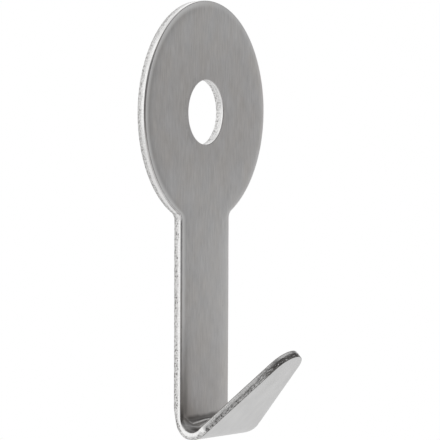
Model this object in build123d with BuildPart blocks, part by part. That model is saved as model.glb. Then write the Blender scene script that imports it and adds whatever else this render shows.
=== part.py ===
"""Coat hook, blanked from one sheet of brushed stainless steel and bent once.

A round head with a large fixing hole runs into a narrower shank. The shank hangs
down the wall, turns forward and up through one bend, and ends in a lip that
tapers to a round tip.

X runs across the hook, Y into the wall and Z up. The origin is the centre of the
fixing hole on the back face. The backs of the head and the shank lie on the wall,
in the plane Y = 0. Lengths are in millimetres and angles in degrees.
"""

import os

from build123d import *

# Sheet and its cut edge
sheet_thickness = 2.0
front_edge_roll = 0.3  # the punch draws this edge in as it enters the sheet
back_edge_break = 0.1  # what deburring takes off the edge where the punch leaves

# Head
head_diameter = 50.0
hole_diameter = 14.5

# Shank
shank_width = 20.0
shank_length = 68.0  # from the hole's centre down to the start of the bend
neck_radius = 2.0  # inside corners between the head and the shank

# Bend
bend_inner_radius = 3.0
bend_turn = 135.0  # from straight down to sloping forward and up

# Lip
lip_length = 25.0  # along the slope, from the end of the bend to the tip
lip_parallel_length = 4.0  # how far it keeps the shank's width
lip_corner_radius = 8.0  # eases the corners where it starts to taper
lip_tip_radius = 5.2

# The strip turns about this axis, which lies level in front of the shank
bend_centre = Vector(0, -sheet_thickness - bend_inner_radius, -shank_length)
bend_axis = Axis(bend_centre, (-1, 0, 0))

# The lip's inner face, with local Y up the slope and the normal away from the wall
lip_normal = Vector(0, 1, 0).rotate(bend_axis, bend_turn)
lip_plane = Plane(bend_centre, x_dir=(1, 0, 0), z_dir=lip_normal).offset(bend_inner_radius)


def rim_of(skin):
    """The edges round a run of faces that meet at bend lines, which lie along X."""
    edges = ShapeList(edge for face in skin for edge in face.edges())
    return edges.filter_by(Axis.X, reverse=True)


with BuildPart() as hook:
    # Head and shank, drawn on the wall and thickened into the room
    with BuildSketch(Plane.XZ) as plate_outline:
        Circle(head_diameter / 2)
        Rectangle(shank_width, shank_length, align=(Align.CENTER, Align.MAX))
        neck_corners = plate_outline.vertices().group_by(Axis.Y)[1]
        fillet(neck_corners, neck_radius)
    extrude(amount=sheet_thickness)

    # Bend, the shank's end section turned about the bend axis
    with BuildSketch(Plane.XY.offset(-shank_length)):
        Rectangle(shank_width, sheet_thickness, align=(Align.CENTER, Align.MAX))
    revolve(axis=bend_axis, revolution_arc=bend_turn)

    # Lip, with sides that run tangent into the full round of the tip
    with BuildSketch(lip_plane) as lip_outline:
        with BuildLine():
            foot = Line((0, 0), (shank_width / 2, 0))
            side = Line(foot @ 1, (shank_width / 2, lip_parallel_length))
            tip_circle = CenterArc(
                (0, lip_length - lip_tip_radius), lip_tip_radius, 0, 360, mode=Mode.PRIVATE
            )
            taper = ConstrainedLines(
                tip_circle, side @ 1, selector=lambda lines: lines.sort_by(Axis.X)[-1]
            )
            RadiusArc(taper @ 0, (0, lip_length), -lip_tip_radius)
            mirror(about=Plane.YZ)
        make_face()
        taper_corners = lip_outline.vertices().group_by(Axis.Y)[1]
        fillet(taper_corners, lip_corner_radius)
    extrude(amount=sheet_thickness)

    # Fixing hole
    with Locations(Plane.XZ):
        Hole(hole_diameter / 2)

    # The two skins of the sheet: the flat of the plate, the bend and the flat of the lip
    plate_faces = hook.faces().filter_by(Axis.Y).sort_by(Axis.Y)
    bend_faces = hook.faces().filter_by(GeomType.CYLINDER).sort_by_distance(bend_centre)
    lip_faces = hook.faces().filter_by(lip_plane).sort_by(Axis(bend_centre, lip_normal))
    front_rim = rim_of([plate_faces.first, bend_faces[0], lip_faces.first])
    back_rim = rim_of([plate_faces.last, bend_faces[1], lip_faces.last])
    fillet(front_rim, front_edge_roll)
    fillet(back_rim, back_edge_break)

hook.part.label = "hook"
os.makedirs("parts", exist_ok=True)
export_step(hook.part, "parts/hook.step")
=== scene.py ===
# %% [markdown]
# # A coat hook made from one strip of sheet steel
#
# The real hook is blanked from 2 mm stainless sheet by a press tool, brushed, and
# bent once. It is a single piece, so nearly all that there is to see is in three
# things: the outline that the tool cut, the cut edge with its bright and its broken
# band, and the way brushed steel mirrors a studio.
#
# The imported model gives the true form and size. This lesson keeps that form and
# dresses it in a finer skin, four steel finishes, a floor and soft light.

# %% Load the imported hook
import math

import bmesh
import bpy
import numpy as np
from mathutils import Matrix, Vector


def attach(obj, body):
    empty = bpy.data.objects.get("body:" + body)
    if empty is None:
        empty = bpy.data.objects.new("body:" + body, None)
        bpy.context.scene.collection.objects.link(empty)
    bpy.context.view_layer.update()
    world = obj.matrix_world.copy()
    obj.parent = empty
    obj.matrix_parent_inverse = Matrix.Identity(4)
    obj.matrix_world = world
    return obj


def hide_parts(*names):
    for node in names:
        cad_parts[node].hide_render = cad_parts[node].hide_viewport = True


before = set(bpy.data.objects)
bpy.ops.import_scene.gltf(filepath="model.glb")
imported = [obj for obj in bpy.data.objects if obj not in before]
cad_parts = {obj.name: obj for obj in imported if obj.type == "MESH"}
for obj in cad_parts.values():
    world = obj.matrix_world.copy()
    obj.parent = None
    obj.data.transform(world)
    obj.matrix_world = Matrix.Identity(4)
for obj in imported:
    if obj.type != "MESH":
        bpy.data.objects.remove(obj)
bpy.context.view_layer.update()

# %% [markdown]
# ## The blank's sizes
#
# A press tool cuts the hook while the sheet is still flat, so the outline is worked
# out flat as well: x runs across the strip, and s runs down it from the middle of
# the hole. Only afterwards is every point carried round the bend. Modelling the bent
# hook straight away would be possible too, but then the edge would need a new rule
# in each region.
#
# Lengths are millimetres here, as on a workshop drawing, and metres in the mesh. The
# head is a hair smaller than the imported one, so that no point stands proud of it.

# %% Sizes on the workshop drawing
MM = 0.001
SHEET = 2.0
HEAD_RADIUS = 24.99
HOLE_RADIUS = 7.25
HALF_WIDTH = 10.0
NECK_RADIUS = 2.0
SHANK_LENGTH = 68.0
BEND_RADIUS = 3.0
BEND_TURN = math.radians(135)
LIP_LENGTH = 25.0
LIP_PARALLEL = 4.0
TIP_RADIUS = 5.2

bend_length = (BEND_RADIUS + SHEET / 2) * BEND_TURN
lip_start = SHANK_LENGTH + bend_length
tip_centre = lip_start + LIP_LENGTH - TIP_RADIUS
neck_s = math.sqrt((HEAD_RADIUS + NECK_RADIUS) ** 2 - (HALF_WIDTH + NECK_RADIUS) ** 2)

# A side of the lip runs from its corner tangent to the round tip. Its angle is that
# of the line to the tip's centre, less the one that the tip's radius takes up.
corner_s = lip_start + LIP_PARALLEL
taper = math.atan2(HALF_WIDTH, tip_centre - corner_s)
taper -= math.asin(TIP_RADIUS / math.hypot(HALF_WIDTH, tip_centre - corner_s))
print("flat blank", round(HEAD_RADIUS + lip_start + LIP_LENGTH, 1), "mm long, sides taper by",
      round(math.degrees(taper), 2), "degrees")

# %% [markdown]
# ## The right half of the outline
#
# From the top of the head it is an arc, a small inside corner at the neck, the long
# side of the strip, and the round tip. The side is a function of s: the strip's half
# width or the taper, whichever is less. The bend adds a little to it, because the
# steel squeezed inside a tight bend spreads out sideways. That swelling ends in a
# small shoulder where the taper cuts across it.

# %% Half width of the strip
BEND_SWELL = 0.90


def eased(share):
    """A share t from 0 to 1 carried to t^2 (3 - 2t), which starts and ends level."""
    return share**2 * (3 - 2 * share)


def half_width(s):
    """Lesser of two widths: the strip's, with an eased swelling over the bend, and the taper's line."""
    swollen = HALF_WIDTH + BEND_SWELL * eased(np.clip((s - SHANK_LENGTH) / bend_length, 0, 1))
    tapered = HALF_WIDTH - (s - corner_s) * math.tan(taper)
    return np.minimum(swollen, tapered)


print("the strip is", round(float(2 * half_width(lip_start)), 1), "mm wide at the end of the bend")

# %% Trace the right half
POINT_GAP = 0.2
ARC_POINTS = 400
SIDE_POINTS = 4000


def arc(centre_x, centre_s, radius, start, stop):
    """Points centre + radius * (cos a, sin a), with the angle a running evenly from start to stop."""
    a = np.linspace(start, stop, ARC_POINTS)
    return np.stack([centre_x + radius * np.cos(a), centre_s + radius * np.sin(a)], 1)


def evenly(points, gap):
    """The same line with points about one gap apart, found by its running length."""
    step = np.hypot(*np.diff(points, axis=0).T)
    run = np.concatenate([[0], np.cumsum(step)])
    at = np.linspace(0, run[-1], int(round(run[-1] / gap)) + 1)
    return np.stack([np.interp(at, run, points[:, k]) for k in (0, 1)], 1)


neck_angle = math.atan2(neck_s, HALF_WIDTH + NECK_RADIUS)
side_s = np.linspace(neck_s, tip_centre + TIP_RADIUS * math.sin(taper), SIDE_POINTS)
half = np.concatenate([
    arc(0, 0, HEAD_RADIUS, -math.pi / 2, neck_angle),
    arc(HALF_WIDTH + NECK_RADIUS, neck_s, NECK_RADIUS, neck_angle + math.pi, math.pi),
    np.stack([half_width(side_s), side_s], 1),
    arc(0, tip_centre, TIP_RADIUS, taper, math.pi / 2),
])
half = evenly(half, POINT_GAP)
print("half outline of", len(half), "points")

# %% [markdown]
# ## Middle points
#
# The flat faces are closed by rulings: each point of the outline looks back to a
# point in the middle. Round the head the middle points are a ring about the hole.
# Below it they slide down the centre line, and from the neck on they lie straight
# across from the outline, so that every ruling is parallel to the bend's axis and
# the bend is exact. Past the tip's centre they all stay there.

# %% Middle point of every outline point
RING_RADIUS = 9.0
RING_SHARE = 0.8  # of the head's rulings end on the ring

head_columns = int(np.argmax(half[:, 1] > neck_s))
ring_columns = int(RING_SHARE * head_columns)
middle = np.zeros_like(half)
ring_turn = np.linspace(0, math.pi, ring_columns)
middle[:ring_columns, 0] = RING_RADIUS * np.sin(ring_turn)
middle[:ring_columns, 1] = -RING_RADIUS * np.cos(ring_turn)
slide = np.linspace(0, 1, head_columns - ring_columns + 2)
middle[ring_columns - 1:head_columns + 1, 1] = RING_RADIUS + slide * (half[head_columns, 1] - RING_RADIUS)
middle[head_columns:, 1] = np.minimum(half[head_columns:, 1], tip_centre)
middle[ring_columns - 1:, 0] = 0
print(ring_columns, "rulings end on the half ring,", len(half) - ring_columns, "on the centre line")

# %% The whole outline
# The left half mirrors the right one and runs from the tip back up to the top
flip = np.array([-1.0, 1.0])
outline = np.concatenate([half, half[-2:0:-1] * flip])
middle = np.concatenate([middle, middle[-2:0:-1] * flip])
tangent = np.roll(outline, -1, 0) - np.roll(outline, 1, 0)
outward = np.stack([tangent[:, 1], -tangent[:, 0]], 1)
outward /= np.linalg.norm(outward, axis=1)[:, None]
outline_run = np.concatenate([[0], np.cumsum(np.hypot(*np.diff(outline, axis=0).T))])
print("whole outline:", len(outline), "points,", round(outline_run[-1], 1), "mm round")

# %% [markdown]
# ## The section of a sheared edge
#
# A punch leaves four bands on an edge. Where it enters, it draws the skin down in a
# soft roll. Then it shears cleanly and leaves a bright, burnished band. At last the
# rest of the thickness breaks, which leaves a band that is rough and leans inwards.
# A small break where the burr was taken off ends it.
#
# The section is drawn once as a profile: depth under the front skin against the
# inset from the outline. It is then carried round both outlines, and the line where
# the steel starts to break wanders as it goes.

# %% Smooth noise round a closed line
rng = np.random.default_rng(7)


def wander(run, spacing):
    """Closed smooth noise of about unit size: random numbers one spacing apart, joined by cosines."""
    knots = rng.normal(size=int(run[-1] / spacing))
    at = np.linspace(0, len(knots), len(run), endpoint=False)
    before = at.astype(int)
    share = (1 - np.cos((at - before) * math.pi)) / 2
    return knots[before] * (1 - share) + knots[(before + 1) % len(knots)] * share


def window(value, start, stop, ease):
    """1 between start and stop, 0 outside, with straight ramps of length ease."""
    return np.clip((value - start) / ease, 0, 1) * np.clip((stop - value) / ease, 0, 1)


# %% Rows of the section
ROLL_ROWS = 8
SOUND_ROWS = (0.35, 0.7, 1.0)  # places between the roll and the line where the steel breaks
TORN_ROWS = 8
BURR_ROWS = 3

# The line where the steel breaks wanders by two noises, each with turns one gap apart
SLOW_WANDER = 0.09
SLOW_GAP = 1.4
QUICK_WANDER = 0.06
QUICK_GAP = 0.5

# How far inside the outline the torn band lies, and how rough it is
STEP_INSET = 0.015  # at the line where it starts
BREAK_INSET = 0.07  # at its end
NOTCH_INSET = 0.10  # added in the notch
BURR_BREAK = 0.08
GRAIN = 0.035
FINE_GAP = 0.45
COARSE_GAP = 1.3
COARSE_SHARE = 0.6
LAST_GRAIN = 0.2

# What the edge_place attribute says of each band
SOUND, TORN, BURR = 0.0, 1.0, 2.0
NOTCH_TORN = 0.5
ROLL_CLIMB = 2.5


def edge_section(run, roll_width, roll_depth, draw, break_start, notch):
    """Rows of (inset, depth, band) for every point round an outline.

    The roll is a quarter of an ellipse, from the skin at depth draw to roll_depth, and its band rises
    from 0 and falls back. Below it the inset is 0 down to the wandering line where the steel breaks.
    From there it grows evenly to BREAK_INSET, with noise added, and a quarter circle ends it. Where
    notch is 1 the break is deeper.
    """
    flat = np.ones(len(run))
    rows = []
    for angle in np.linspace(0, math.pi / 2, ROLL_ROWS):
        inset = roll_width * (1 - math.sin(angle))
        depth = draw + (roll_depth - draw) * (1 - math.cos(angle))
        rolled = min(1.0, ROLL_CLIMB * math.sin(2 * angle))
        rows.append([inset, depth, flat * rolled])
    start = break_start + SLOW_WANDER * wander(run, SLOW_GAP) + QUICK_WANDER * wander(run, QUICK_GAP)
    stop = SHEET - BURR_BREAK
    for share in SOUND_ROWS:
        rows.append([flat * 0, roll_depth + share * (start - roll_depth), flat * SOUND])
    for share in np.linspace(0, 1, TORN_ROWS + 1)[1:]:
        grain = np.abs(GRAIN * (wander(run, FINE_GAP) + COARSE_SHARE * wander(run, COARSE_GAP)))
        fade = math.sqrt(math.sin(math.pi * share)) if share < 1 else LAST_GRAIN
        inset = STEP_INSET + (BREAK_INSET - STEP_INSET) * share + grain * fade + NOTCH_INSET * notch
        rows.append([inset, start + share * (stop - start), TORN + NOTCH_TORN * notch])
    last = rows[-1][0]
    for angle in np.linspace(0, math.pi / 2, BURR_ROWS + 1)[1:]:
        inset = last + BURR_BREAK * (1 - math.cos(angle))
        rows.append([inset, flat * (stop + BURR_BREAK * math.sin(angle)), flat * BURR])
    return np.array(rows)


# %% [markdown]
# The bend changes the edge. Inside it the steel was squeezed, so the burnished band
# gets wider there, and just past its end the tool's corner polished a short block of
# the edge over nearly the whole thickness, with a small torn notch behind it. The
# skin is also drawn down more as the strip nears the bend, and less at the very top
# of the head, where the tool cut more cleanly. The lip broke late and its tip early.

# %% The section round the blank
ROLL_WIDTH = 0.36
ROLL_DEPTH = 0.33
TOP_ROLL = 0.35  # share of the roll that is left at the top of the head
DRAW_DEPTH = 0.05
BEND_DRAW = 0.09
BREAK_START = 0.85
LEAST_TORN = 0.3

# Where along the strip each region lies, and how softly it starts and ends
down = outline[:, 1]
in_bend = window(down, SHANK_LENGTH + 1.5, lip_start + 0.2, 2.0)
block = window(down, lip_start, lip_start + 1.5, 0.3)
notch = window(down, lip_start + 1.4, lip_start + 2.1, 0.2)
near_bend = window(down, SHANK_LENGTH - 24, lip_start + 8, 20.0)
low_head = window(down, 6, 26, 6.0)
on_lip = np.clip((down - lip_start) / 3.0, 0, 1)
on_tip = window(down, lip_start + 16.5, lip_start + 26.5, 2.0)
below_top = TOP_ROLL + (1 - TOP_ROLL) * np.clip((down + 22) / 12, 0, 1)

# How deep the skin is drawn down, and how much later than usual the steel broke
draw = DRAW_DEPTH * below_top + BEND_DRAW * near_bend
later = 0.25 * low_head + 0.35 * in_bend + 0.40 * on_lip - 0.45 * on_tip + 0.8 * block
break_start = np.minimum(BREAK_START + later, SHEET - LEAST_TORN)
rim = edge_section(outline_run, ROLL_WIDTH * below_top, ROLL_DEPTH * below_top, draw, break_start, notch)
print("edge section:", rim.shape[0], "rows,", rim.shape[2], "points round the blank")

# %% [markdown]
# ## From the flat blank to the bent hook
#
# One function carries every point over. Above the bend the plate stands on the wall.
# In the bend the distance along the strip becomes an angle about the bend's axis, and
# the depth becomes a radius. Past it the lip runs straight on, up and forwards.
# Stretched steel gets thinner, so the outside of the bend comes in by about a quarter
# of a millimetre, and by a little more just below its start, where the steel yielded
# first.

# %% Bend a set of points
BEND_THINNING = 0.26
THIN_FROM = SHANK_LENGTH - 2.5
THIN_TO = lip_start + 1.0
THIN_EASE = 3.0
YIELD_THINNING = 0.18
YIELD_AT = SHANK_LENGTH + 1.3
YIELD_REACH = 1.5


def bent(x, s, depth):
    """Hook coordinates in metres of points at x across, s along and depth below the front skin.

    The angle is the bend's share that lies behind s, times its turn. The radius is the inner one plus
    the depth, less the depth's share of the thinning: an eased window over the bend and a bell curve
    where the steel yielded. What is left of s beyond the bend runs on straight.
    """
    angle = np.clip((s - SHANK_LENGTH) / bend_length, 0, 1) * BEND_TURN
    past = s - np.clip(s, SHANK_LENGTH, lip_start)
    thinner = BEND_THINNING * eased(window(s, THIN_FROM, THIN_TO, THIN_EASE))
    thinner = thinner + YIELD_THINNING * np.exp(-((s - YIELD_AT) / YIELD_REACH) ** 2)
    radius = BEND_RADIUS + depth * (1 - thinner / SHEET)
    y = -SHEET - BEND_RADIUS + radius * np.cos(angle) - past * np.sin(angle)
    z = -SHANK_LENGTH - radius * np.sin(angle) - past * np.cos(angle)
    return np.stack([x, y, z], -1) * MM


print("the lip's tip lands at", bent(0.0, lip_start + LIP_LENGTH, 0.0), "m")

# %% [markdown]
# ## Building the mesh
#
# Every surface is a grid: rows by columns of points, closed round the outline. The
# rim is the section carried round. Each skin is made of rulings from the rim to the
# middle points, and an annulus joins the ring to the hole's own rim. The grids share
# their border points, which are merged at the end, so the piece is one closed shell.
#
# Two attributes go with the points. blank_place is where a point lay in the flat
# blank, so that the brushing runs round the bend with the sheet. edge_place is how
# far round the rim and how deep in it a point lies, and which band it is in. On the
# two skins the band is less than 0, and counts the distance in from the rim.

# %% Grid of the rim
BRUSHED, CUT, BACK, PUNCHED = 0, 1, 2, 3
grids = []


def add_grid(x, s, depth, edge, finish):
    """Keeps a grid of points with its attributes. Each array is rows by columns."""
    grids.append((bent(x, s, depth), np.stack([x, s, depth], -1), edge, finish))


def sweep(outline, away, run, section, wall):
    """Carries the section round an outline: point = outline - inset * away, at the section's depth."""
    inset, depth, band = section[:, 0], section[:, 1], section[:, 2]
    x = outline[:, 0] - inset * away[:, 0]
    s = outline[:, 1] - inset * away[:, 1]
    edge = np.stack([np.broadcast_to(run, x.shape), depth, band], -1)
    for part, finish in ((slice(None, ROLL_ROWS), BRUSHED), (slice(ROLL_ROWS - 1, None), wall)):
        add_grid(x[part], s[part], depth[part], edge[part], finish)
    return x, s


rim_x, rim_s = sweep(outline, outward, outline_run, rim, CUT)
print("rim:", rim_x.size, "points")

# %% [markdown]
# The two skins differ. The back is plain and flat. The front is drawn down towards
# the rim, and the steel squeezed inside the bend has nowhere to go: it rises in low
# wrinkles with hollows between them. The lines of the wrinkles turn once, near the
# left side of the strip, and climb away from there. The front has close rows beside
# the rim and where the wrinkles turn, because the marks are fine there.

# %% Rise of the wrinkles
DRAW_REACH = 5.0
WRINKLE_LEVEL = 5.5  # a line is level more than this far from its turn
WRINKLE_FADE = 1.2

# Lowest place on the strip, where it turns, how steeply it climbs to the left and to
# the right, how wide it is and how high. The hollows have a height below 0.
WRINKLES = (
    (68.75, 0.0, 0.00, 0.00, 0.40, -0.05),
    (70.20, -5.9, 0.85, 0.15, 0.24, 0.11),
    (70.62, -5.9, 0.62, 0.13, 0.22, -0.07),
    (71.75, -4.5, 0.29, 0.28, 0.30, 0.11),
    (72.45, -4.5, 0.29, 0.28, 0.35, -0.08),
)


def drawn(far, draw):
    """Depth of the front skin: draw at the roll, and less by a square law until DRAW_REACH away."""
    return draw * np.clip(1 - far / DRAW_REACH, 0, 1) ** 2


def wrinkled(x, s, far):
    """Rise of the inner skin: for each wrinkle height * exp(-((s - line) / width)^2), fading near the rim."""
    rise = np.zeros_like(x)
    for lowest, turn_at, left_lean, right_lean, width, height in WRINKLES:
        lean = np.where(x < turn_at, left_lean, right_lean)
        line = lowest - lean * np.minimum(np.abs(x - turn_at), WRINKLE_LEVEL)
        rise += height * np.exp(-((s - line) / width) ** 2)
    return rise * np.clip(far / WRINKLE_FADE, 0, 1)


# %% Grids of the two skins
beside_rim = [0, 0.01, 0.03, 0.06]
front_rows = np.concatenate([beside_rim, np.linspace(0.1, 0.5, 17), np.linspace(0.58, 1.0, 6)])[:, None]
back_rows = np.array([0, 0.02, 0.1, 0.3, 0.6, 1.0])[:, None]

for row, finish, inwards in ((0, BRUSHED, front_rows), (-1, BACK, back_rows)):
    x = rim_x[row] + inwards * (middle[:, 0] - rim_x[row])
    s = rim_s[row] + inwards * (middle[:, 1] - rim_s[row])
    far = inwards * np.hypot(middle[:, 0] - rim_x[row], middle[:, 1] - rim_s[row])
    depth = drawn(far, draw) - wrinkled(x, s, far) if finish == BRUSHED else np.full_like(x, SHEET)
    add_grid(x, s, depth, np.stack([np.broadcast_to(outline_run, x.shape), depth, -far], -1), finish)
print("front skin:", len(front_rows), "rows, back skin:", len(back_rows), "rows")

# %% [markdown]
# The hole is punched from the front as well. Its punch was sharper than the blanking
# tool, so the roll is small and the steel broke almost at once: nearly all of the
# hole's wall is the grainy band.

# %% Grids of the hole
HOLE_ROLL_WIDTH = 0.14
HOLE_ROLL_DEPTH = 0.12
HOLE_BREAK_START = 0.34

hole_points = np.concatenate([middle[:ring_columns], middle[-ring_columns + 2:]])
hole_away = -hole_points / RING_RADIUS
hole_rim = -hole_away * HOLE_RADIUS
hole_run = np.arctan2(hole_rim[:, 0], -hole_rim[:, 1]) % (2 * math.pi) * HOLE_RADIUS
zero = np.zeros(len(hole_run))
hole_section = edge_section(hole_run, HOLE_ROLL_WIDTH + zero, HOLE_ROLL_DEPTH, zero, HOLE_BREAK_START, zero)
hole_x, hole_s = sweep(hole_rim, hole_away, hole_run, hole_section, PUNCHED)
ring_rows = np.array([0, 0.05, 0.15, 0.4, 1.0])[:, None]
for row, finish in ((0, BRUSHED), (-1, BACK)):
    x = hole_x[row] + ring_rows * (hole_points[:, 0] - hole_x[row])
    s = hole_s[row] + ring_rows * (hole_points[:, 1] - hole_s[row])
    far = np.broadcast_to(ring_rows * (RING_RADIUS - HOLE_RADIUS), x.shape)
    depth = np.full_like(x, 0 if finish == BRUSHED else SHEET)
    add_grid(x, s, depth, np.stack([np.broadcast_to(hole_run, x.shape), depth, -far], -1), finish)
print(len(grids), "grids,", sum(g[0].shape[0] * g[0].shape[1] for g in grids), "points")

# %% [markdown]
# The grids become one mesh. Each grid adds its quads after those of the grids before
# it, and then the points that two grids share are merged.

# %% Faces of all the grids


def grid_faces(rows, columns, first):
    """Quads between neighbouring rows and columns, wrapped from the last column to the first."""
    row, column = np.meshgrid(np.arange(rows - 1), np.arange(columns), indexing="ij")
    after = (column + 1) % columns
    a, b = row * columns + column, row * columns + after
    c, d = b + columns, a + columns
    return np.stack([a, b, c, d], -1).reshape(-1, 4) + first


points, flat_place, edge_place, faces, finishes = [], [], [], [], []
first = 0
for place, flat, edge, finish in grids:
    rows, columns = place.shape[:2]
    faces.append(grid_faces(rows, columns, first))
    finishes.append(np.full(len(faces[-1]), finish))
    points.append(place.reshape(-1, 3))
    flat_place.append(flat.reshape(-1, 3))
    edge_place.append(edge.reshape(-1, 3))
    first += rows * columns

mesh = bpy.data.meshes.new("steel_hook")
mesh.from_pydata(np.concatenate(points), [], np.concatenate(faces))
mesh.polygons.foreach_set("material_index", np.concatenate(finishes).astype(np.int32))
for name, values in (("blank_place", flat_place), ("edge_place", edge_place)):
    layer = mesh.attributes.new(name, "FLOAT_VECTOR", "POINT")
    layer.data.foreach_set("vector", np.concatenate(values).astype(np.float32).ravel())
print("mesh of", len(mesh.polygons), "quads before the merge")

# %% Close the shell
MERGE_DISTANCE = 0.002 * MM
shell = bmesh.new()
shell.from_mesh(mesh)
bmesh.ops.remove_doubles(shell, verts=shell.verts, dist=MERGE_DISTANCE)
bmesh.ops.recalc_face_normals(shell, faces=shell.faces)
open_edges = sum(not e.is_manifold for e in shell.edges)
for face in shell.faces:
    face.smooth = True
volume = shell.calc_volume(signed=True)
shell.to_mesh(mesh)
shell.free()
hook = bpy.data.objects.new("steel_hook", mesh)
bpy.context.scene.collection.objects.link(hook)
mesh.calc_loop_triangles()
print("steel hook:", len(mesh.loop_triangles), "triangles,", open_edges, "open edges,",
      round(volume / MM**3), "mm3")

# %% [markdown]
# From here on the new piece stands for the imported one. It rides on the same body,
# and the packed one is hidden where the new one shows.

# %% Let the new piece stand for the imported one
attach(hook, "root")
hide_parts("hook")

# %% [markdown]
# ## Four steel finishes
#
# All of it is one steel, so the finishes share a recipe and differ in what was done to
# the surface: the brushed front, the sheared edge, the back as the mill left it, and
# the punched wall of the hole. A small helper keeps the node trees readable: it adds
# a node, sets its fixed inputs and joins the rest.

# %% A helper for node trees


class Recipe:
    """The node tree of a material or a world, with one short call per node."""

    def __init__(self, owner):
        """Starts an empty tree in its owner."""
        owner.use_nodes = True
        self.tree = owner.node_tree
        self.tree.nodes.clear()

    def node(self, kind, inputs=(), **settings):
        """Adds a node. An input that is a socket is joined, and any other is set as it is."""
        made = self.tree.nodes.new("ShaderNode" + kind)
        for key, value in settings.items():
            setattr(made, key, value)
        for key, value in dict(inputs).items():
            if isinstance(value, bpy.types.NodeSocket):
                self.tree.links.new(value, made.inputs[key])
            else:
                made.inputs[key].default_value = value
        return made

    def math(self, operation, a, b=0.0):
        """One sum: a and b may each be a number or a socket."""
        return self.node("Math", {0: a, 1: b}, operation=operation).outputs[0]

    def all_of(self, operation, first, *others):
        """The same sum carried through a row of values."""
        for value in others:
            first = self.math(operation, first, value)
        return first

    def product(self, *values):
        """All the values multiplied together."""
        return self.all_of("MULTIPLY", *values)

    def most(self, *values):
        """The greatest of the values."""
        return self.all_of("MAXIMUM", *values)

    def grade(self, value, low, high, to_low, to_high, smooth=False):
        """Carries a value from one range to another, and holds it at the ends."""
        kind = "SMOOTHSTEP" if smooth else "LINEAR"
        ends = {0: value, 1: low, 2: high, 3: to_low, 4: to_high}
        return self.node("MapRange", ends, interpolation_type=kind).outputs[0]

    def rise(self, value, at_zero, at_one, smooth=False):
        """A slope from 0 where the value is at_zero to 1 where it is at_one, level beyond both."""
        return self.grade(value, at_zero, at_one, 0.0, 1.0, smooth)

    def stretch(self, value, start, full, fading, gone):
        """1 from full to fading, with a slope from start up to it and one from it down to gone."""
        return self.product(self.rise(value, start, full), self.rise(value, gone, fading))

    def scaled(self, place, per_mm):
        """A place multiplied along each axis, so that a pattern on it has that many features per mm."""
        return self.node("Mapping", {0: place, 3: per_mm}, vector_type="POINT").outputs[0]

    def noise(self, place, per_mm, detail=3.0, rough=0.6):
        """Noise with its own number of features per millimetre along each axis."""
        inputs = {"Vector": self.scaled(place, per_mm), "Scale": 1.0, "Detail": detail, "Roughness": rough}
        return self.node("TexNoise", inputs).outputs[0]

    def attribute(self, name):
        """A vector that the mesh holds for each of its points."""
        return self.node("Attribute", attribute_name=name).outputs["Vector"]

    def split(self, vector):
        """The three parts of a vector."""
        return self.node("SeparateXYZ", {0: vector}).outputs

    def blend(self, share, first, second, kind="MIX"):
        """Mixes two colours, or multiplies them."""
        ends = {"Factor": share, 6: first, 7: second}
        return self.node("Mix", ends, data_type="RGBA", blend_type=kind).outputs[2]

    def tinted(self, colour, tint):
        """A colour multiplied by a tint."""
        return self.blend(1.0, colour, tint, "MULTIPLY")

    def metal(self, colour, rough, height, strength, relief):
        """Ends the tree in bare metal, whose bump is as deep as relief in metres."""
        bump = self.node("Bump", {"Strength": strength, "Distance": relief, "Height": height})
        inputs = {"Base Color": colour, "Metallic": 1.0, "Roughness": rough, "Normal": bump.outputs[0]}
        shader = self.node("BsdfPrincipled", inputs)
        self.node("OutputMaterial", {0: shader.outputs[0]})


# %% [markdown]
# The tones are what the steel itself gives back, from the nearly black of a dirty pit
# to the near white of a polished crest. The darkest also serves as painted shade, the
# burnished one as a painted sheen and the polished one as painted highlights. Brushed
# and mill-finished steel lie between.

# %% Tones of the steel
STEEL_LIGHT = (0.70, 0.695, 0.69, 1.0)
STEEL_DARK = (0.525, 0.52, 0.515, 1.0)
STEEL_TORN = (0.62, 0.615, 0.61, 1.0)
STEEL_DULL = (0.58, 0.575, 0.57, 1.0)
STEEL_BACK = (0.66, 0.66, 0.66, 1.0)
# the three tones below also serve as painted shade, a painted sheen and painted highlights, in that order
PIT_AND_SHADE = (0.14, 0.135, 0.13, 1.0)
BURNISHED_AND_SHEEN = (0.82, 0.815, 0.81, 1.0)
POLISH_AND_HIGHLIGHT = (0.95, 0.945, 0.94, 1.0)
print("the steel gives back", PIT_AND_SHADE[0], "in a pit and", POLISH_AND_HIGHLIGHT[0], "on a polished crest")

# %% [markdown]
# ### Brushed front
#
# An abrasive belt has run along the strip. It leaves hairlines about a tenth of a
# millimetre apart and a few millimetres long, so the noise is stretched along the
# blank. The hairlines vary the gloss and the height, broader streaks vary the tone,
# and slow patches turn it a trace warmer or cooler. A picture of brushed steel could
# do it too, but noise has no seams and stays sharp in a close view.
#
# It is duller beside the hole and over the foot of the shank above the bend, and a
# painted sheen makes it brighter towards the right side of the shank. Along the rim
# runs a brighter line, with a stripe of painted shade inside it on the left.
#
# The marks are painted by their place in the flat blank: across the strip, along it,
# or in from the rim. Each is a product of slopes, so it fades at all its sides.

# %% Patches, duller areas and a painted sheen
WARM = (1.0, 0.982, 0.968, 1.0)
COOL = (0.99, 0.99, 1.0, 1.0)
PLAIN = (1.0, 1.0, 1.0, 1.0)
DULLED = (0.90, 0.885, 0.875, 1.0)
DULL_REACH = 36  # how far above the bend the shank is duller
print("coats rub the shank from", SHANK_LENGTH - DULL_REACH, "to", SHANK_LENGTH, "mm")


def patched(recipe, colour, place):
    """Slow patches that are a trace warmer or cooler."""
    patch = recipe.noise(place, (0.16, 0.11, 1.0), 3.0, 0.55)
    return recipe.tinted(colour, recipe.blend(recipe.rise(patch, 0.38, 0.62), WARM, COOL))


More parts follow.
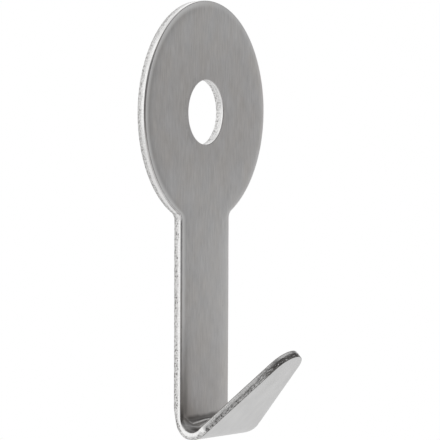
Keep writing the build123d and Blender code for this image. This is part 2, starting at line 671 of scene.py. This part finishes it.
def dull_patches_and_painted_sheen(recipe, colour, across, along):
    """Duller at the hole's height and over the foot of the shank, with a painted sheen that makes it brighter
    towards the strip's right side.
    """
    beside_hole = recipe.grade(recipe.math("ABSOLUTE", along), 8.0, 20.0, 0.55, 0.0, smooth=True)
    lower_shank = recipe.rise(along, SHANK_LENGTH - DULL_REACH, SHANK_LENGTH, smooth=True)
    dull = recipe.most(beside_hole, lower_shank)
    colour = recipe.tinted(colour, recipe.blend(dull, PLAIN, DULLED))
    # painted sheen: a lighter tone towards the right side of the shank stands in for the brighter reflection
    # there
    right = recipe.product(recipe.grade(across, -4.0, 8.0, 0.0, 0.32),
                           recipe.rise(along, 22.0, 32.0),
                           recipe.grade(along, 48.0, 60.0, 1.0, 0.5))
    return recipe.blend(right, colour, BURNISHED_AND_SHEEN)


# %% Painted shade stripe and bright line beside the rim
HEAD_STRIPE = 0.19  # how dark the painted shade stripe is on the head
SHANK_STRIPE = 0.55  # and at the foot of the shank
RIM_LINE_SHARE = 0.8  # how bright the line is


def painted_shade_stripe(recipe, across, along, band):
    """Share of painted shade in a stripe beside the left rim, faint on the head and ending where the bend
    starts.
    """
    where = recipe.math("ADD", recipe.grade(along, 12.0, 26.0, HEAD_STRIPE, 0.0),
                        recipe.grade(along, 46.0, 62.0, 0.0, SHANK_STRIPE))
    # painted shade: a dark stripe beside the left rim stands in for the darker reflection of the skin sloping
    # into the roll
    return recipe.product(where,
                          recipe.rise(band, -3.0, -1.2, smooth=True),
                          recipe.grade(band, -1.9, -0.8, 1.0, 0.6),
                          recipe.rise(across, 0.0, -7.0),
                          recipe.rise(along, SHANK_LENGTH + 1, SHANK_LENGTH - 1.5))


def bright_rim_line(recipe, across, along, band, from_hole):
    """Share of a brighter tone right along the rim, weaker on the right, with none near the bend or the hole.
    """
    return recipe.product(recipe.grade(band, -1.6, -0.2, 0.0, RIM_LINE_SHARE, smooth=True),
                          recipe.rise(band, 0.0, -0.05),
                          recipe.rise(along, SHANK_LENGTH - 8, SHANK_LENGTH - 26),
                          recipe.grade(across, 6.0, -6.0, 0.35, 1.0),
                          recipe.rise(from_hole, 9.0, 11.0))


# %% [markdown]
# Inside the bend the skin is creased. Shade is painted into the crease where the bend
# starts, into the hollows between the wrinkles, beside the left rim and below the
# wrinkles, and highlights are painted on the crests and on the left of the skin above
# and below them. The crease isn't straight, so the distance along the strip is shifted
# by slow noise before the painted shade is laid on it.

# %% Painted shade and painted highlights inside the bend
CREASE = SHANK_LENGTH + 0.1
CREASE_WAVER = 1.4
CREASE_TILT = 0.3
LOWER_WRINKLE = (71.8, 72.3)  # the marks above it end and those below it start here
print("crease", CREASE, "and lower wrinkle", LOWER_WRINKLE[0], "mm below the middle of the hole")


def bend_painted_shade(recipe, place, across, along, depth, band):
    """Share of painted shade in the wavering crease, in the hollows, beside the left rim and below the
    wrinkles.
    """
    # painted shade: the crease, the hollows, the left rim and the skin below the wrinkles are darkened where
    # shade falls
    waver = recipe.math("SUBTRACT", recipe.noise(place, (0.2, 0.2, 1.0), 2.0, 0.5), 0.5)
    waver = recipe.math("ADD", recipe.product(waver, CREASE_WAVER),
                        recipe.grade(across, -HALF_WIDTH, HALF_WIDTH, -CREASE_TILT, CREASE_TILT))
    wavy = recipe.math("ADD", along, waver)
    crease = recipe.product(recipe.grade(wavy, CREASE - 0.7, CREASE + 0.3, 0.0, 0.8, smooth=True),
                            recipe.grade(wavy, CREASE + 1.1, CREASE + 1.6, 1.0, 0.15),
                            recipe.grade(across, -8.4, -6.6, 0.15, 1.0))
    hollow = recipe.product(recipe.grade(depth, 0.015, 0.05, 0.0, 0.55),
                            recipe.rise(along, 69.0, 69.6),
                            recipe.rise(across, -8.5, -7.5))
    left_rim = recipe.product(recipe.grade(band, -0.95, -0.45, 0.0, 0.8),
                              recipe.stretch(along, 64.5, 67.5, 72.0, 75.0),
                              recipe.rise(across, -6.0, -8.0))
    below = recipe.product(recipe.grade(across, -8.0, -7.0, 0.0, 0.6),
                           recipe.stretch(along, *LOWER_WRINKLE, 75.0, 77.0))
    return recipe.most(crease, left_rim, below, hollow)


def bend_painted_highlight(recipe, across, along, depth):
    """Share of painted highlight on the wrinkles' crests, and on the left of the skin above and below them.
    """
    # painted highlight: glints on the wrinkles' crests and light streaks on the skin to their left
    above = recipe.product(recipe.grade(across, -6.2, -8.4, 0.0, 0.6),
                           recipe.stretch(along, 69.0, 70.2, *LOWER_WRINKLE))
    below = recipe.product(recipe.grade(across, -7.8, -9.0, 0.0, 0.6),
                           recipe.stretch(along, *LOWER_WRINKLE, 73.5, 76.0))
    return recipe.most(above, below, recipe.rise(depth, -0.02, -0.08))


# %% All the marks of the front, with its painted shade and painted highlights
LIP_GRIME = 0.6


def front_marks_and_painted_light(recipe, colour, place, band):
    """The front's tone with its marks, its painted shade and painted highlights, and grime on the roll of the
    lip.
    """
    across, along, depth = recipe.split(place)
    from_hole = recipe.node("VectorMath", {0: place}, operation="LENGTH").outputs["Value"]
    colour = patched(recipe, colour, place)
    colour = dull_patches_and_painted_sheen(recipe, colour, across, along)
    colour = recipe.blend(painted_shade_stripe(recipe, across, along, band), colour, PIT_AND_SHADE)
    colour = recipe.blend(bright_rim_line(recipe, across, along, band, from_hole), colour, POLISH_AND_HIGHLIGHT)
    colour = recipe.blend(bend_painted_shade(recipe, place, across, along, depth, band), colour, PIT_AND_SHADE)
    colour = recipe.blend(bend_painted_highlight(recipe, across, along, depth), colour, POLISH_AND_HIGHLIGHT)
    grime = recipe.product(recipe.grade(band, 0.0, 0.5, 0.0, LIP_GRIME),
                           recipe.stretch(along, lip_start, lip_start + 3, lip_start + 8, lip_start + 16))
    return recipe.blend(grime, colour, PIT_AND_SHADE)


# %% [markdown]
# ### Mill back
#
# The back faces the wall and was never brushed as well as the front. It keeps the
# cloudy blotches of the rolling mill, some millimetres across, under faint hairlines.
# Otherwise it shares the front's recipe.

# %% Brushed skin, marked and with painted light, or blotched
CLOUDED = (0.96, 0.96, 0.96, 1.0)
CLEAR = (1.03, 1.03, 1.03, 1.0)
HAIR_RELIEF = 0.02 * MM


def blotched(recipe, colour, place):
    """Cloudy blotches some millimetres across, as the rolling mill leaves them."""
    blotch = recipe.rise(recipe.noise(place, (0.30, 0.14, 1.0), 3.0, 0.5), 0.36, 0.64)
    return recipe.tinted(colour, recipe.blend(blotch, CLOUDED, CLEAR))


def brushed_steel(name, tones, hairline_height, roughness, contrast, marks_and_painted_light):
    """Steel with hairlines along the strip. contrast is the share of the streaks' tone that shows."""
    material = bpy.data.materials.new(name)
    recipe = Recipe(material)
    place = recipe.attribute("blank_place")
    band = recipe.split(recipe.attribute("edge_place"))[2]
    hair = recipe.noise(place, (9.0, 0.45, 1.0), 4.0, 0.7)
    streak = recipe.noise(place, (2.3, 0.25, 1.0), 3.0, 0.6)
    cloud = recipe.noise(place, (0.3, 0.2, 1.0), 3.0, 0.55)
    shares = recipe.product(streak, 0.45), recipe.product(hair, 0.35), recipe.product(cloud, 0.2)
    tone = recipe.all_of("ADD", *shares)
    tone = recipe.grade(tone, 0.36, 0.64, 0.5 - contrast / 2, 0.5 + contrast / 2)
    colour = recipe.blend(tone, *tones)
    colour = front_marks_and_painted_light(recipe, colour, place, band) if marks_and_painted_light else blotched(recipe, colour, place)
    smoother_roll = recipe.grade(band, 0.0, 0.6, 0.0, 0.03)
    rough = recipe.math("SUBTRACT", recipe.grade(hair, 0.25, 0.75, roughness - 0.06, roughness + 0.08),
                        smoother_roll)
    recipe.metal(colour, rough, hair, hairline_height, HAIR_RELIEF)
    return material


front_finish = brushed_steel("brushed front", (STEEL_DARK, STEEL_LIGHT), hairline_height=0.35,
                             roughness=0.32, contrast=1.0, marks_and_painted_light=True)
back_finish = brushed_steel("mill back", (STEEL_DULL, STEEL_BACK), hairline_height=0.12,
                            roughness=0.38, contrast=0.45, marks_and_painted_light=False)
print("front:", len(front_finish.node_tree.nodes), "nodes, back:", len(back_finish.node_tree.nodes), "nodes")

# %% [markdown]
# ### Cut edge
#
# The burnished band is bright, with faint drag lines in the way the punch moved. The
# broken band is a torn, grainy surface: its tone, gloss and height come from fine
# grain and from dark pits about half a millimetre long. A cell pattern gives the
# pits, each cell with a pit of its own size or none. The coarse unevenness is in the
# mesh already, so the bump only has to add what is finer than its rows. The lip's edge
# has wider pits and dark specks, and its tip is the darkest of all. The hole's wall
# takes the same recipe in a lighter steel.

# %% Pits of the torn band
LIP_PITS = 0.12  # how much wider the pits are on the lip


def pitted(recipe, place, along, on_lip):
    """Share of dark in the pits: each cell has one as wide as its random number allows, in groups."""
    cell = recipe.node("TexVoronoi", {"Vector": recipe.scaled(place, (1.7, 2.3, 0.0)), "Scale": 1.0},
                       voronoi_dimensions="2D").outputs
    groups = recipe.grade(recipe.noise(place, (0.16, 0.2, 0.0), 2.0, 0.5), 0.40, 0.60, 0.7, 1.3)
    reach = recipe.product(recipe.grade(recipe.split(cell["Color"])[0], 0.30, 1.0, 0.0, 0.40), groups)
    reach = recipe.math("ADD", reach, recipe.product(on_lip, LIP_PITS))
    pits = recipe.grade(recipe.math("SUBTRACT", cell["Distance"], reach), -0.10, 0.03, 0.9, 0.0)
    return recipe.product(pits, recipe.grade(along, 14.0, 30.0, 0.35, 1.0))


# %% Tones of the two bands


def burnished_tone(recipe, along, drag, grain, mottle, on_lip):
    """The bright band: drag lines, with dark specks on the lip and dark patches just before its tip."""
    tone = recipe.blend(recipe.rise(drag, 0.35, 0.65), STEEL_LIGHT, BURNISHED_AND_SHEEN)
    tone = recipe.blend(recipe.product(recipe.grade(grain, 0.46, 0.62, 0.0, 0.6), on_lip), tone, PIT_AND_SHADE)
    before_tip = recipe.product(recipe.rise(along, lip_start + 16, lip_start + 18),
                                recipe.grade(along, lip_start + 20.5, lip_start + 22, 1.0, 0.15))
    patches = recipe.product(recipe.grade(mottle, 0.44, 0.58, 0.0, 0.75), before_tip)
    return recipe.blend(patches, tone, PIT_AND_SHADE)


def torn_tone(recipe, steel, back_shade, place, along, grain, mottle, pits):
    """The torn band: grainy, mottled, pitted, darker to the back, and darkest at the tip but for flecks."""
    depth, band = recipe.split(place)[1:]
    tone = recipe.blend(recipe.rise(grain, 0.35, 0.65), steel, BURNISHED_AND_SHEEN)
    tone = recipe.blend(recipe.grade(depth, 1.1, 1.9, 0.0, back_shade), tone, PIT_AND_SHADE)
    deeper = recipe.grade(depth, 0.9, 1.6, 0.25, 0.65)
    tone = recipe.blend(recipe.product(recipe.rise(mottle, 0.46, 0.64), deeper), tone, PIT_AND_SHADE)
    on_tip = recipe.rise(along, lip_start + 17.5, lip_start + 20, smooth=True)
    tone = recipe.blend(recipe.product(on_tip, recipe.grade(depth, 0.80, 1.10, 0.35, 0.98)), tone, PIT_AND_SHADE)
    tone = recipe.blend(pits, tone, PIT_AND_SHADE)
    flecks = recipe.grade(recipe.noise(place, (1.2, 3.0, 0.0), 2.0, 0.6), 0.58, 0.66, 0.0, 0.8)
    tone = recipe.blend(recipe.product(flecks, on_tip), tone, BURNISHED_AND_SHEEN)
    return recipe.blend(recipe.grade(band, 1.1, 1.5, 0.0, 0.8), tone, PIT_AND_SHADE)


# %% Sheared edge
EDGE_BUMP = 0.6
EDGE_RELIEF = 0.06 * MM


def cut_steel(name, torn_steel, back_shade):
    """Sheared steel: burnished where the band is 0, torn and pitted where it is 1, dark at the burr."""
    material = bpy.data.materials.new(name)
    recipe = Recipe(material)
    place = recipe.attribute("edge_place")
    along = recipe.split(recipe.attribute("blank_place"))[1]
    band = recipe.split(place)[2]
    drag = recipe.noise(place, (7.0, 0.6, 0.0), 3.0, 0.6)
    grain = recipe.noise(place, (4.5, 5.5, 0.0), 3.0, 0.6)
    mottle = recipe.noise(place, (1.9, 2.3, 0.0), 2.0, 0.6)
    on_lip = recipe.rise(along, lip_start + 1.8, lip_start + 4.0, smooth=True)
    torn = recipe.rise(band, 0.05, 0.6)
    pits = pitted(recipe, place, along, on_lip)
    bright = burnished_tone(recipe, along, drag, grain, mottle, on_lip)
    broken = torn_tone(recipe, torn_steel, back_shade, place, along, grain, mottle, pits)
    colour = recipe.blend(torn, bright, broken)
    seam = recipe.product(recipe.grade(band, 0.0, 0.5, 0.0, 0.8), recipe.rise(band, 1.0, 0.5), on_lip)
    colour = recipe.blend(seam, colour, PIT_AND_SHADE)
    rough = recipe.math("ADD", recipe.grade(drag, 0.3, 0.7, 0.20, 0.28),
                        recipe.product(torn, recipe.grade(grain, 0.3, 0.7, 0.06, 0.2)))
    relief = recipe.math("SUBTRACT", grain, recipe.product(pits, 0.8))
    height = recipe.math("ADD", recipe.product(relief, torn), recipe.product(drag, 0.15))
    recipe.metal(colour, rough, height, EDGE_BUMP, EDGE_RELIEF)
    return material


cut_finish = cut_steel("sheared edge", STEEL_TORN, back_shade=0.22)
hole_finish = cut_steel("punched hole", STEEL_LIGHT, back_shade=0.0)
for finish in (front_finish, cut_finish, back_finish, hole_finish):
    hook.data.materials.append(finish)
print("finishes:", [m.name for m in hook.data.materials])

# %% [markdown]
# ## Floor
#
# The hook is shown in mid-air, with a plain pale floor some way below it: a flat disc
# of rings, wide enough to fill the view from above. To the camera and to the steel it
# looks white, and the share that stays diffuse keeps the hook's soft shadow.

# %% A round floor
FLOOR_LEVEL = -0.6
FLOOR_RADIUS = 2.2
FLOOR_RINGS = 24
FLOOR_SPOKES = 96
INNER_RING = 0.02

ring = np.linspace(INNER_RING, 1, FLOOR_RINGS)[:, None] * FLOOR_RADIUS
turn = np.linspace(0, 2 * math.pi, FLOOR_SPOKES, endpoint=False)[None]
level = np.full((FLOOR_RINGS, FLOOR_SPOKES), FLOOR_LEVEL)
floor_points = np.stack([ring * np.cos(turn), ring * np.sin(turn), level], -1).reshape(-1, 3)
floor_faces = grid_faces(FLOOR_RINGS, FLOOR_SPOKES, 0).tolist() + [list(range(FLOOR_SPOKES))]
floor_mesh = bpy.data.meshes.new("floor")
floor_mesh.from_pydata(floor_points, [], floor_faces)
floor = bpy.data.objects.new("floor", floor_mesh)
bpy.context.scene.collection.objects.link(floor)
print("floor:", len(floor_points), "points,", 2 * FLOOR_RADIUS, "m across")

# %% Pale finish of the floor
FLOOR_GLOW = 1.05
CAMERA_GLOW = 0.03  # added where the camera looks straight at the floor
WHITE_SHARE = 0.8

pale = bpy.data.materials.new("pale floor")
paper = Recipe(pale)
ray = paper.node("LightPath").outputs
seen = paper.most(ray["Is Camera Ray"], ray["Is Glossy Ray"], ray["Is Transmission Ray"])
matt = paper.node("BsdfDiffuse", {"Color": (0.9, 0.9, 0.9, 1.0)}).outputs[0]
glow = paper.math("ADD", paper.product(ray["Is Camera Ray"], CAMERA_GLOW), FLOOR_GLOW)
white = paper.node("Emission", {"Color": (1, 1, 1, 1), "Strength": glow}).outputs[0]
both = paper.node("MixShader", {0: paper.product(seen, WHITE_SHARE), 1: matt, 2: white}).outputs[0]
paper.node("OutputMaterial", {0: both})
floor.data.materials.append(pale)
print("floor finish:", pale.name)

# %% [markdown]
# ## Light
#
# Steel shows what stands round it, so the room matters more than the lamp. It is a
# plain white studio, drawn as slopes of brightness over the direction that is looked
# in: a bright wall behind the hook, a side wall on the right that gets dimmer upwards
# and towards the front, a faint panel facing the hook, and some light from the
# ceiling. The rest is dim. From the camera the flat front then mirrors a grey part of
# the side wall, and the cut edge the white wall behind. The camera itself sees plain
# white. Panels built as pieces could light it too, but the brushed steel would mirror
# their hard borders, and slopes have none.

# %% Walls of the room
world = bpy.data.worlds.new("studio")
bpy.context.scene.world = world
room = Recipe(world)
rightwards, wallwards, upwards = room.split(room.node("TexCoord").outputs["Generated"])
back_wall = room.grade(wallwards, -0.15, 0.5, 0.17, 1.2, smooth=True)
side_wall = room.product(room.rise(rightwards, 0.1, 0.6, smooth=True),
                         room.rise(upwards, 0.45, 0.1, smooth=True),
                         room.grade(wallwards, -0.78, -0.2, 0.07, 1.18))
front_panel = room.product(room.grade(wallwards, -0.75, -0.95, 0.0, 0.45, smooth=True),
                           room.rise(rightwards, -0.35, 0.0, smooth=True))
ceiling = room.product(room.rise(upwards, 0.45, 0.9, smooth=True),
                       room.grade(wallwards, -0.3, 0.4, 0.55, -0.3))
brightness = room.math("ADD", room.most(back_wall, side_wall, front_panel), ceiling)
camera_sees = room.node("LightPath").outputs["Is Camera Ray"]
brightness = room.node("Mix", {0: camera_sees, 2: brightness, 3: 1.0}, data_type="FLOAT").outputs[0]
sky = room.node("Background", {"Color": (1, 1, 1, 1), "Strength": brightness})
room.node("OutputWorld", {0: sky.outputs[0]})
print("room:", len(world.node_tree.nodes), "nodes")

# %% A round softbox above
LAMP_PLACE = Vector((-0.35, 0.15, 0.95))
LAMP_AIM = Vector((0, 0, -0.03))
LAMP_SIZE = 0.9
LAMP_WATTS = 1.0

lamp_data = bpy.data.lights.new("overhead softbox", "AREA")
lamp_data.shape = "DISK"
lamp_data.size = LAMP_SIZE
lamp_data.energy = LAMP_WATTS
lamp = bpy.data.objects.new("overhead softbox", lamp_data)
lamp.location = LAMP_PLACE
lamp.rotation_euler = (LAMP_AIM - LAMP_PLACE).to_track_quat("-Z", "Y").to_euler()
lamp.visible_camera = False
bpy.context.scene.collection.objects.link(lamp)
print("softbox:", LAMP_WATTS, "W,", round((LAMP_AIM - LAMP_PLACE).length, 2), "m from the hook")

# %% [markdown]
# ## Camera
#
# A long lens, nearly level with the hole, looks at the hook from its left and from
# the front. Its place, turn and lens were fitted until the outline of the rendered
# hook fell on that of the photographed one.

# %% Camera
CAMERA_PLACE = Vector((-0.7149, -0.45548, 0.00935))
CAMERA_AZIMUTH = math.radians(-57.8276)
CAMERA_ELEVATION = math.radians(2.2669)
CAMERA_ROLL = math.radians(0.183)
LENS = 308.754
FILM_WIDTH = 36
NEAREST = 0.05
FARTHEST = 20

camera_data = bpy.data.cameras.new("camera")
camera_data.lens = LENS
camera_data.sensor_width = FILM_WIDTH
camera_data.clip_start = NEAREST
camera_data.clip_end = FARTHEST
camera = bpy.data.objects.new("camera", camera_data)
level_turn = Matrix.Rotation(CAMERA_AZIMUTH, 4, "Z") @ Matrix.Rotation(math.pi / 2 - CAMERA_ELEVATION, 4, "X")
camera.matrix_world = Matrix.Translation(CAMERA_PLACE) @ level_turn @ Matrix.Rotation(CAMERA_ROLL, 4, "Z")
bpy.context.scene.collection.objects.link(camera)
bpy.context.scene.camera = camera
bpy.context.scene.view_settings.view_transform = "Standard"
print("camera:", round(CAMERA_PLACE.length, 2), "m from the hole")
